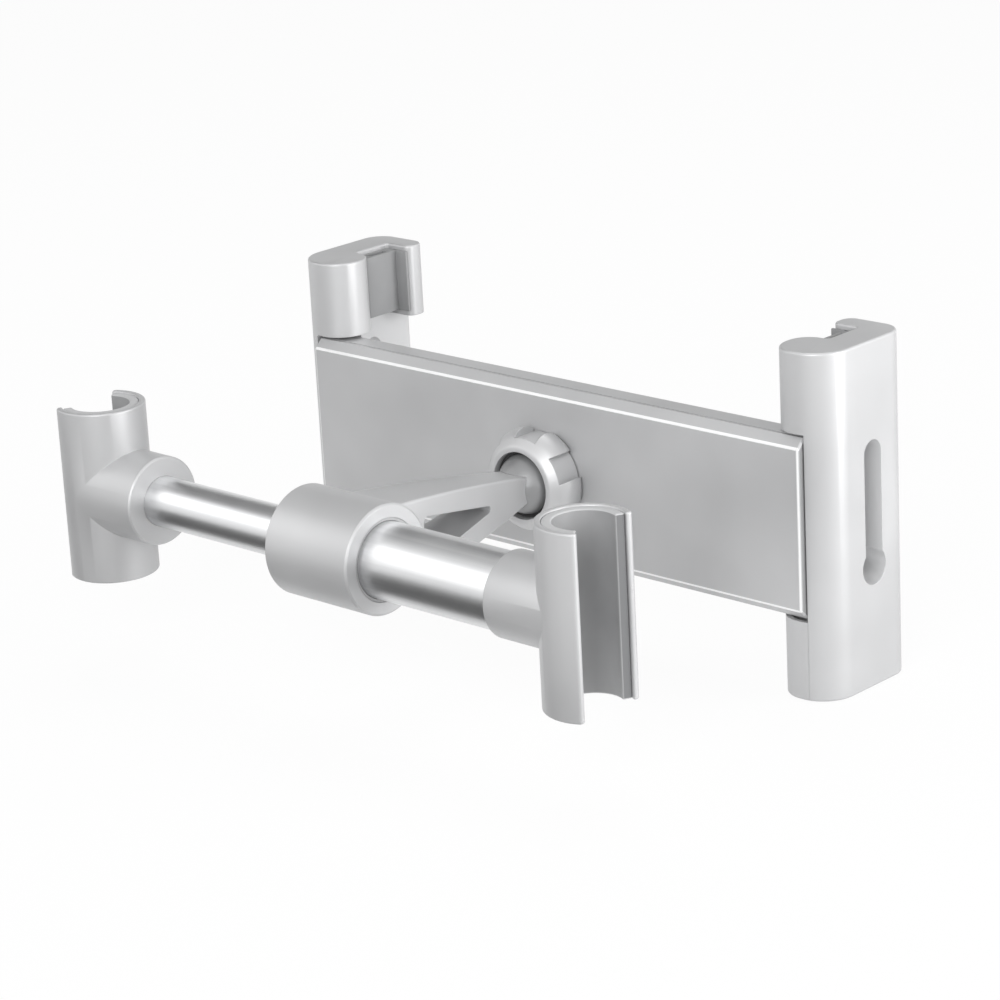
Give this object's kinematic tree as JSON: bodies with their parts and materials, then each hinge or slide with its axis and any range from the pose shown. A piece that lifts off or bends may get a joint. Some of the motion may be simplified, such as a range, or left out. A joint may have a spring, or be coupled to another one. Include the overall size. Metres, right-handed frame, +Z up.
{
  "type": "headrest tablet mount",
  "caption": "Telescopic crossbar hooking onto headrest posts, with a tapered arm, a ball joint and a sprung tablet holder.",
  "frame": {"origin": "axis of the right post hook, at the height of the crossbar tubes", "axes": "+X along the crossbar from the left hook to the right hook, +Y towards the tablet, +Z up along the headrest posts"},
  "size_m": [0.1821, 0.1192, 0.088],
  "materials": {
    "casting_grey": "satin",
    "bush_grey": "matt",
    "tube_aluminium": "satin anodised",
    "liner_rubber": "matt",
    "pad_rubber": "matt",
    "bearing_plastic": "matt",
    "screw_steel": "satin",
    "spring_steel": "bright",
    "slider_steel": "satin",
    "gear_plastic": "satin"
  },
  "bodies": {
    "crossbar": {"outer_tube": "tube_aluminium", "tube_guide_bush": "bearing_plastic", "right_hook_shell": "casting_grey", "right_hook_liner": "liner_rubber", "right_socket_screw": "screw_steel"},
    "left_post_hook": {"inner_tube": "tube_aluminium", "inner_tube_end_ring": "bearing_plastic", "left_hook_shell": "casting_grey", "left_hook_liner": "liner_rubber", "left_socket_screw": "screw_steel"},
    "arm": {"support_arm": "casting_grey", "collar_friction_bush": "bush_grey"},
    "tilting_race": {"rear_ball_race": "bearing_plastic"},
    "panning_race": {"front_ball_race": "bearing_plastic"},
    "holder": {"rear_cover": "casting_grey", "front_cover": "casting_grey", "front_pad": "pad_rubber", "casing_screws": "screw_steel", "pinion_pin": "screw_steel", "left_spring": "spring_steel", "right_spring": "spring_steel"},
    "clamp_nut": {"ball_nut": "casting_grey"},
    "left_jaw_unit": {"left_jaw": "casting_grey", "left_jaw_heel_cover": "casting_grey", "left_upper_pad": "pad_rubber", "left_lower_pad": "pad_rubber", "left_slider": "slider_steel", "left_slider_screws": "screw_steel"},
    "right_jaw_unit": {"right_jaw": "casting_grey", "right_jaw_heel_cover": "casting_grey", "right_upper_pad": "pad_rubber", "right_lower_pad": "pad_rubber", "right_slider": "slider_steel", "right_slider_screws": "screw_steel"},
    "pinion_unit": {"pinion": "gear_plastic"}
  },
  "joints": [
    {"name": "left_hook_slide", "type": "slide", "parent": "crossbar", "child": "left_post_hook", "axis": [-1, 0, 0], "range_m": [-0.047, 0.013]},
    {"name": "collar_swivel", "type": "hinge", "parent": "crossbar", "child": "arm", "pos_m": [-0.078, 0, 0], "axis": [1, 0, 0], "range_deg": [-90, 90]},
    {"name": "ball_tilt", "type": "hinge", "parent": "arm", "child": "tilting_race", "pos_m": [-0.078, 0.0655, -0.0009], "axis": [1, 0, 0], "range_deg": [-15, 15]},
    {"name": "ball_pan", "type": "hinge", "parent": "tilting_race", "child": "panning_race", "pos_m": [-0.078, 0.0655, -0.0009], "axis": [0, 0, 1], "range_deg": [-15, 15]},
    {"name": "ball_spin", "type": "hinge", "parent": "panning_race", "child": "holder", "pos_m": [-0.078, 0.0655, -0.0009], "axis": [0, 1, 0], "continuous": true},
    {"name": "nut_turn", "type": "hinge", "parent": "holder", "child": "clamp_nut", "pos_m": [-0.078, 0.0655, -0.0009], "axis": [0, 1, 0], "range_deg": [-90, 0]},
    {"name": "left_jaw_slide", "type": "slide", "parent": "holder", "child": "left_jaw_unit", "axis": [-1, 0, 0], "range_m": [0, 0.055], "stiffness_N_per_m": 60, "springref_m": -0.03, "deforming": ["left_spring", "right_spring"]},
    {"name": "right_jaw_slide", "type": "slide", "parent": "holder", "child": "right_jaw_unit", "axis": [1, 0, 0], "range_m": [0, 0.055], "stiffness_N_per_m": 60, "springref_m": -0.03},
    {"name": "pinion_spin", "type": "hinge", "parent": "holder", "child": "pinion_unit", "pos_m": [-0.078, 0.077, 0], "axis": [0, -1, 0], "range_deg": [0, 530]}
  ],
  "couplings": [
    {"joint": "right_jaw_slide", "follows": "left_jaw_slide", "ratio": 1},
    {"joint": "pinion_spin", "follows": "left_jaw_slide", "rad_per_m": 166.67}
  ]
}
